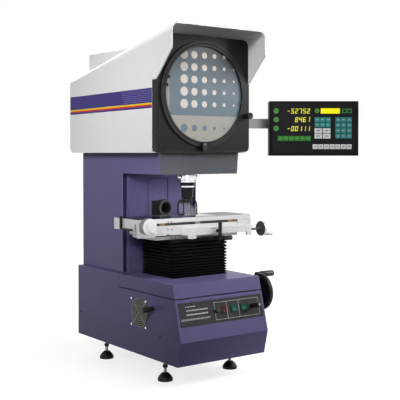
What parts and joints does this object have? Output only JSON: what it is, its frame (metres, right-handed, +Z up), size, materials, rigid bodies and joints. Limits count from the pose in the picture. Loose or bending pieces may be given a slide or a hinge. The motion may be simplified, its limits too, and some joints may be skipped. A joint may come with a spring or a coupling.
{
  "type": "optical comparator",
  "caption": "Bench profile projector: hooded round screen head on a column, objective over a cross-slide stage on a focusing lift, sloped switch panel, and a swing-arm readout.",
  "frame": {"origin": "centre of the four foot pads on the bench plane", "axes": "+X to the right seen from the screen side, +Y to the back, +Z up"},
  "size_m": [0.8211, 0.6875, 1.098],
  "materials": {
    "violet_paint": "textured violet enamel",
    "white_paint": "semi-gloss white enamel",
    "black_paint": "black wrinkle enamel",
    "grey_panel": "dark grey matt panel",
    "neck_paint": "dark blue-grey enamel",
    "steel": "ground steel",
    "aluminium": "fine machined",
    "chrome": "polished",
    "brass": "turned",
    "rubber": "matt black",
    "black_plastic": "moulded, matt",
    "key_panel": "printed membrane",
    "red_plastic": "translucent red",
    "green_plastic": "translucent green",
    "white_plastic": "moulded white",
    "frosted_glass": "ground on one side",
    "clear_glass": "polished",
    "mirror": "front silvered",
    "iron": "machined casting",
    "bellows_cloth": "folded coated cloth"
  },
  "bodies": {
    "frame": {"base_casing": "violet_paint", "deck_cover": "violet_paint", "floor_plate": "iron", "levelling_feet": "rubber", "control_panel": "grey_panel", "switch_bodies": "black_plastic", "fuse_cap": "black_plastic", "m4_screws": "steel", "fan_frame": "black_plastic", "fan_guard": "steel", "mains_inlet": "black_plastic", "lamp_house": "aluminium", "lift_guide": "iron", "column_shell": "violet_paint", "column_panel": "violet_paint", "cover_plate": "violet_paint", "neck_shell": "violet_paint", "neck_plate": "neck_paint", "objective_mount": "chrome", "thumb_screws": "chrome", "objective_barrel": "black_paint", "objective_lens": "clear_glass", "mirror_frame": "black_paint", "half_mirror": "clear_glass", "head_housing": "white_paint", "mirror_cover": "white_paint", "relay_mirror": "mirror", "face_plate": "black_paint", "vernier_block": "black_paint", "dro_bracket": "steel"},
    "power_switch": {"power_rocker": "red_plastic"},
    "contour_switch": {"contour_rocker": "green_plastic"},
    "surface_switch": {"surface_rocker": "green_plastic"},
    "dimmer": {"brightness_knob": "black_plastic"},
    "condenser_rod": {"lamp_knob": "black_plastic"},
    "fan": {"fan_rotor": "black_plastic"},
    "z_wheel": {"z_handwheel": "black_plastic"},
    "z_grip": {"z_handle": "black_plastic"},
    "lift": {"lift_column": "steel", "stage_base": "aluminium", "bellows": "bellows_cloth"},
    "cross_slide": {"y_saddle": "aluminium", "x_housing": "aluminium", "rod_bushings": "brass"},
    "table": {"x_table": "aluminium", "stage_glass": "clear_glass"},
    "x_wheel": {"x_handwheel": "black_plastic"},
    "x_grip": {"x_handle": "white_plastic"},
    "x_screw": {"x_rod": "steel"},
    "y_wheel": {"y_handwheel": "aluminium"},
    "release": {"release_lever": "black_paint"},
    "clamp": {"clamp_lever": "black_paint"},
    "screen": {"screen_ring": "black_paint", "screen_glass": "frosted_glass", "chart_clips": "black_paint"},
    "screen_drive": {"screen_knob": "black_plastic"},
    "surface_light": {"surface_tube": "black_paint"},
    "display_arm": {"dro_arm": "steel"},
    "display": {"dro_case": "black_paint", "dro_panel": "key_panel"}
  },
  "joints": [
    {"name": "focus_lift", "type": "slide", "parent": "frame", "child": "lift", "axis": [0, 0, 1], "range_m": [-0.08, 0], "deforming": ["bellows"]},
    {"name": "cross_travel", "type": "slide", "parent": "lift", "child": "cross_slide", "axis": [0, 1, 0], "range_m": [-0.025, 0.025]},
    {"name": "long_travel", "type": "slide", "parent": "cross_slide", "child": "table", "axis": [1, 0, 0], "range_m": [-0.075, 0.075]},
    {"name": "focus_wheel_turn", "type": "hinge", "parent": "frame", "child": "z_wheel", "pos_m": [0.2, -0.253, 0.256], "axis": [1, 0, 0], "range_deg": [-2880, 0]},
    {"name": "focus_grip_spin", "type": "hinge", "parent": "z_wheel", "child": "z_grip", "pos_m": [0.23, -0.241, 0.31], "axis": [1, 0, 0], "continuous": true},
    {"name": "cross_wheel_turn", "type": "hinge", "parent": "cross_slide", "child": "y_wheel", "pos_m": [-0.196, -0.19, 0.483], "axis": [0, 1, 0], "range_deg": [-1800, 1800]},
    {"name": "long_wheel_turn", "type": "hinge", "parent": "cross_slide", "child": "x_wheel", "pos_m": [0.25, -0.185, 0.4545], "axis": [1, 0, 0], "range_deg": [-1080, 1080]},
    {"name": "long_grip_spin", "type": "hinge", "parent": "x_wheel", "child": "x_grip", "pos_m": [0.28, -0.191, 0.4365], "axis": [1, 0, 0], "continuous": true},
    {"name": "drive_rod_turn", "type": "hinge", "parent": "cross_slide", "child": "x_screw", "pos_m": [0, -0.167, 0.485], "axis": [1, 0, 0], "range_deg": [-1080, 1080]},
    {"name": "release_swing", "type": "hinge", "parent": "cross_slide", "child": "release", "pos_m": [0.066, -0.2, 0.458], "axis": [0, 1, 0], "range_deg": [0, 20]},
    {"name": "clamp_swing", "type": "hinge", "parent": "table", "child": "clamp", "pos_m": [-0.222, -0.076, 0.488], "axis": [1, 0, 0], "range_deg": [-25, 0]},
    {"name": "screen_turn", "type": "hinge", "parent": "frame", "child": "screen", "pos_m": [0, -0.21, 0.894], "axis": [0, 1, 0], "continuous": true},
    {"name": "screen_knob_turn", "type": "hinge", "parent": "frame", "child": "screen_drive", "pos_m": [0.165, -0.21, 0.829], "axis": [0, 1, 0], "continuous": true},
    {"name": "surface_focus_turn", "type": "hinge", "parent": "frame", "child": "surface_light", "pos_m": [0, 0.02, 0.524], "axis": [0, 1, 0], "range_deg": [-60, 60]},
    {"name": "display_arm_swing", "type": "hinge", "parent": "frame", "child": "display_arm", "pos_m": [0.208, -0.03, 0.805], "axis": [0, 0, 1], "range_deg": [-15, 30]},
    {"name": "display_swivel", "type": "hinge", "parent": "display_arm", "child": "display", "pos_m": [0.4079, -0.13543, 0.805], "axis": [0, 0, 1], "range_deg": [0, 25]},
    {"name": "power_rock", "type": "hinge", "parent": "frame", "child": "power_switch", "pos_m": [0.0048, -0.30186, 0.22394], "axis": [1, 0, 0], "range_deg": [0, 12]},
    {"name": "contour_rock", "type": "hinge", "parent": "frame", "child": "contour_switch", "pos_m": [0.0464, -0.30186, 0.22394], "axis": [1, 0, 0], "range_deg": [0, 12]},
    {"name": "surface_rock", "type": "hinge", "parent": "frame", "child": "surface_switch", "pos_m": [0.086, -0.30186, 0.22394], "axis": [1, 0, 0], "range_deg": [0, 12]},
    {"name": "dimmer_turn", "type": "hinge", "parent": "frame", "child": "dimmer", "pos_m": [0.118, -0.3038, 0.22444], "axis": [0, -0.968, 0.251], "range_deg": [-135, 135]},
    {"name": "condenser_shift", "type": "slide", "parent": "frame", "child": "condenser_rod", "axis": [-1, 0, 0], "range_m": [-0.015, 0.01]},
    {"name": "fan_spin", "type": "hinge", "parent": "frame", "child": "fan", "pos_m": [-0.15, -0.096, 0.203], "axis": [1, 0, 0], "continuous": true}
  ],
  "couplings": [
    {"joint": "focus_wheel_turn", "follows": "focus_lift", "rad_per_m": 628.32},
    {"joint": "cross_wheel_turn", "follows": "cross_travel", "rad_per_m": 1256.6},
    {"joint": "long_wheel_turn", "follows": "long_travel", "rad_per_m": 251.33},
    {"joint": "drive_rod_turn", "follows": "long_travel", "rad_per_m": -251.33},
    {"joint": "screen_knob_turn", "follows": "screen_turn", "ratio": -16.798}
  ]
}
